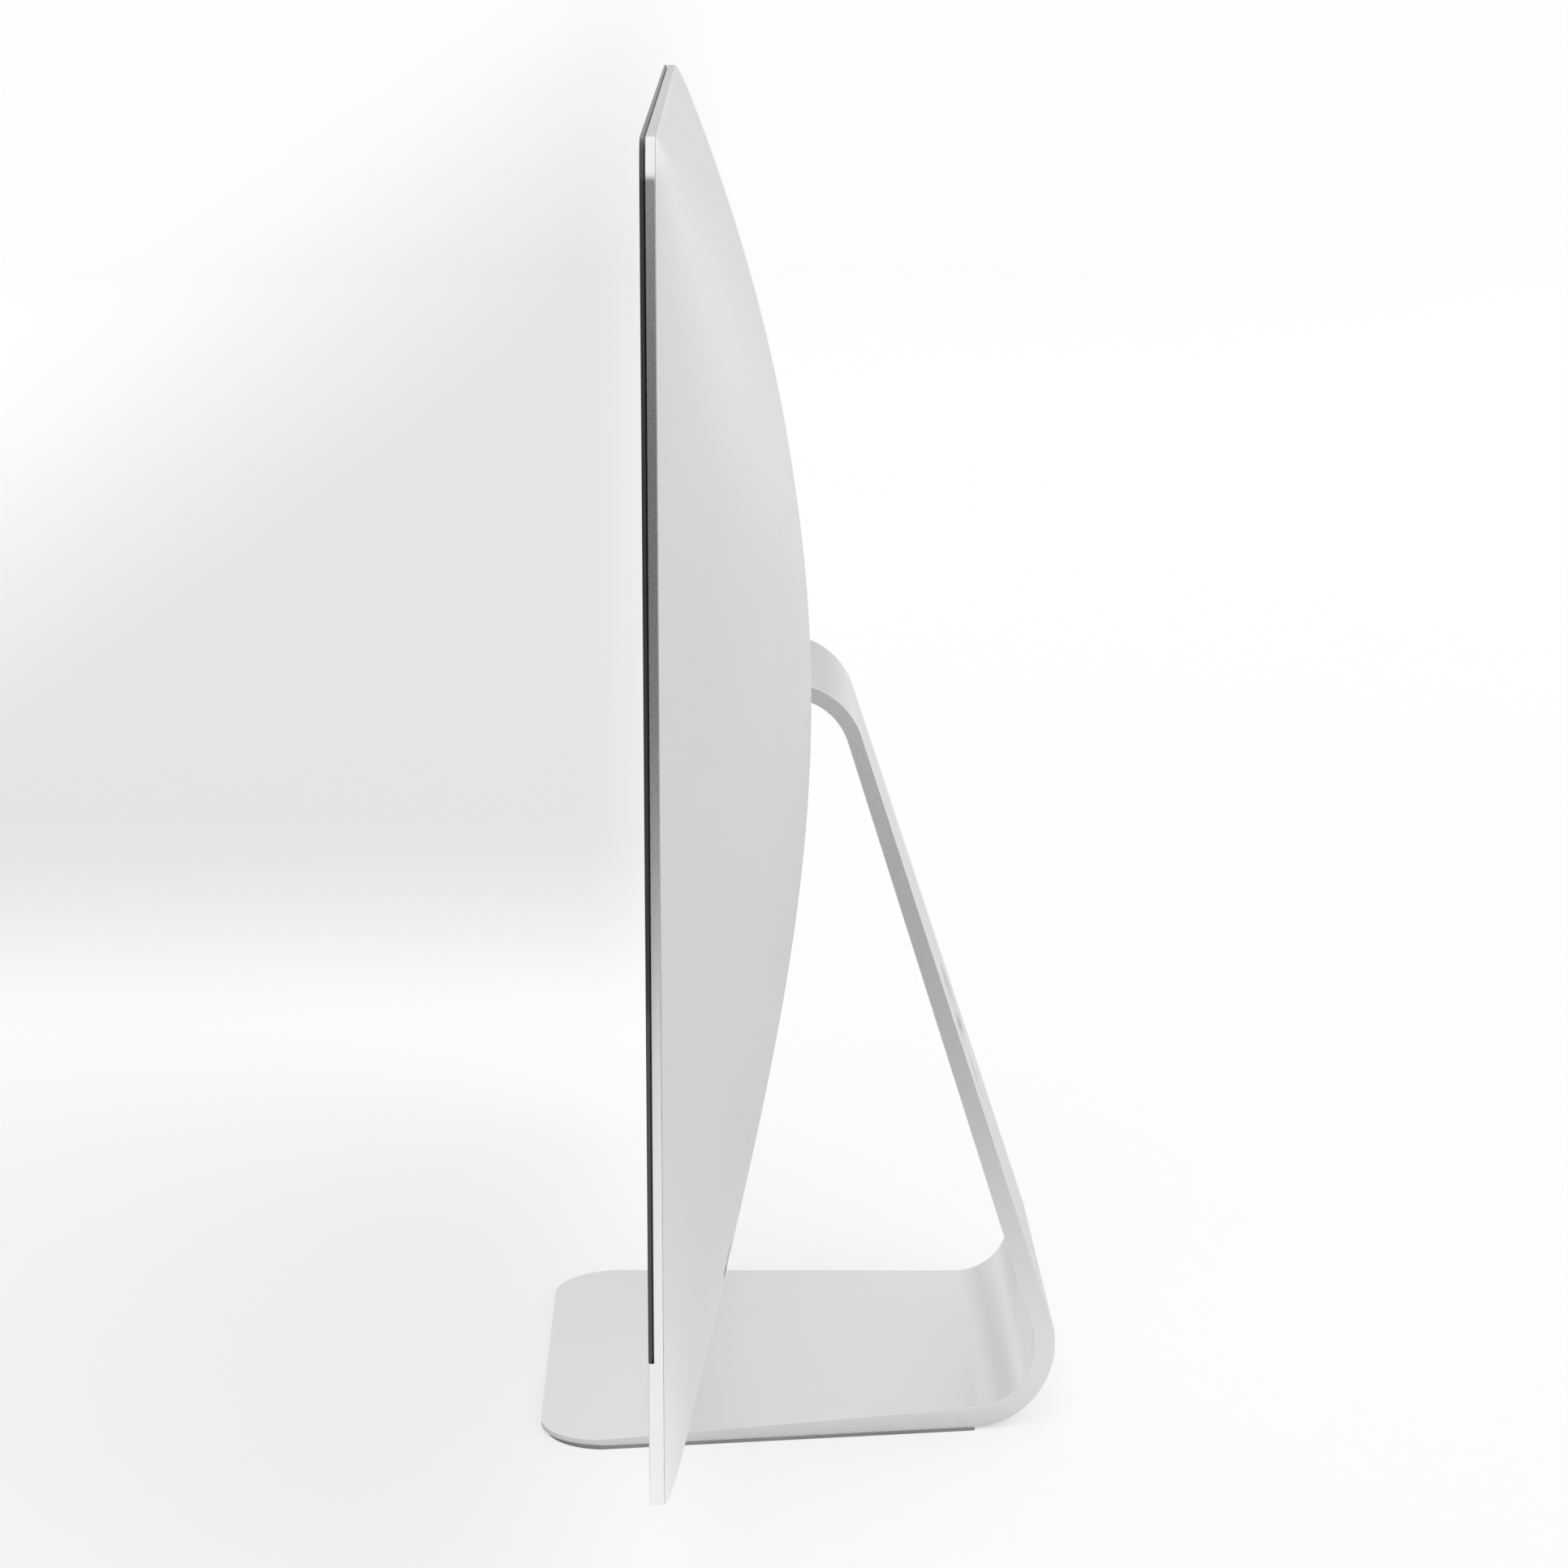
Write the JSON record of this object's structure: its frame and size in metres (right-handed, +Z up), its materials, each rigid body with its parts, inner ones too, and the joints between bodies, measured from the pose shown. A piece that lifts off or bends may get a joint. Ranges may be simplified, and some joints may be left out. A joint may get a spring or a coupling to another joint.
{
  "type": "all in one pc",
  "caption": "All-in-one desktop computer: a slim wide display with a domed metal back, tilting on a stand bent from one plate with a cable hole.",
  "frame": {"origin": "on the desk under the middle of the whole outline", "axes": "+X to the right seen from the front, the glass faces -Y, +Z up"},
  "size_m": [0.65, 0.203, 0.516],
  "materials": {
    "aluminium_body": "fine bead-blasted satin",
    "black_glass": "polished, black border",
    "panel": "dark, switched off",
    "pad": "matte",
    "dark_steel": "black oxide",
    "bright_steel": "plain",
    "heatsink_metal": "plain cast",
    "copper_part": "plain copper",
    "brass_part": "plain",
    "black_plastic": "fine texture",
    "chip_plastic": "moulded",
    "circuit_board": "solder mask"
  },
  "bodies": {
    "stand": {"stand": "aluminium_body", "foot_pad": "pad", "hinge_arms": "dark_steel", "hinge_shaft": "bright_steel", "hinge_screws": "bright_steel", "torsion_springs": "dark_steel", "friction_clutch": "dark_steel"},
    "head": {"hinge_bracket": "dark_steel", "hinge_bushes": "brass_part", "bracket_posts": "bright_steel", "rear_shell": "aluminium_body", "edge_band": "aluminium_body", "cover_glass": "black_glass", "display_tape": "black_plastic", "lcd_panel": "panel", "backlight_tray": "bright_steel", "tray_ribs": "dark_steel", "camera_module": "black_plastic", "microphones": "bright_steel", "logic_board": "circuit_board", "board_posts": "bright_steel", "board_chips": "chip_plastic", "processor_heatsink": "heatsink_metal", "heat_pipes": "copper_part", "fan_case": "black_plastic", "exhaust_duct": "black_plastic", "exhaust_grille": "black_plastic", "memory_slots": "chip_plastic", "memory_modules": "circuit_board", "hard_drive": "heatsink_metal", "drive_bracket": "dark_steel", "ssd_blade": "chip_plastic", "wireless_card": "circuit_board", "antennas": "copper_part", "coin_cell": "bright_steel", "power_supply": "chip_plastic", "supply_posts": "bright_steel", "power_inlet": "black_plastic", "inlet_pins": "brass_part", "speaker_left": "black_plastic", "speaker_right": "black_plastic", "chin_brace": "dark_steel", "bottom_grille": "black_plastic", "button_board": "circuit_board", "usb_ports": "bright_steel", "video_ports": "bright_steel", "network_port": "bright_steel", "audio_jack": "black_plastic", "card_slot": "bright_steel", "display_cable": "black_plastic"},
    "power_button": {"power_button": "aluminium_body"},
    "door_release": {"door_release": "aluminium_body"},
    "memory_door": {"memory_door": "aluminium_body"},
    "fan_rotor": {"fan_rotor": "black_plastic"}
  },
  "joints": [
    {"name": "tilt", "type": "hinge", "parent": "stand", "child": "head", "pos_m": [0, -0.00441, 0.2635], "axis": [-1, 0, 0], "range_deg": [-5, 25]},
    {"name": "power_button_press", "type": "slide", "parent": "head", "child": "power_button", "axis": [0, -0.973, 0.231], "range_m": [0, 0.0007], "stiffness_N_per_m": 900, "springref_m": -0.0006},
    {"name": "door_release_press", "type": "slide", "parent": "head", "child": "door_release", "axis": [0, -1, 0], "range_m": [0, 0.0015], "stiffness_N_per_m": 500, "springref_m": -0.001},
    {"name": "memory_door_lift_off", "type": "slide", "parent": "head", "child": "memory_door", "axis": [0, 1, 0], "range_m": [0, 0.015]},
    {"name": "fan_spin", "type": "hinge", "parent": "head", "child": "fan_rotor", "pos_m": [-0.15, -0.02971, 0.2835], "axis": [0, 1, 0], "continuous": true}
  ]
}
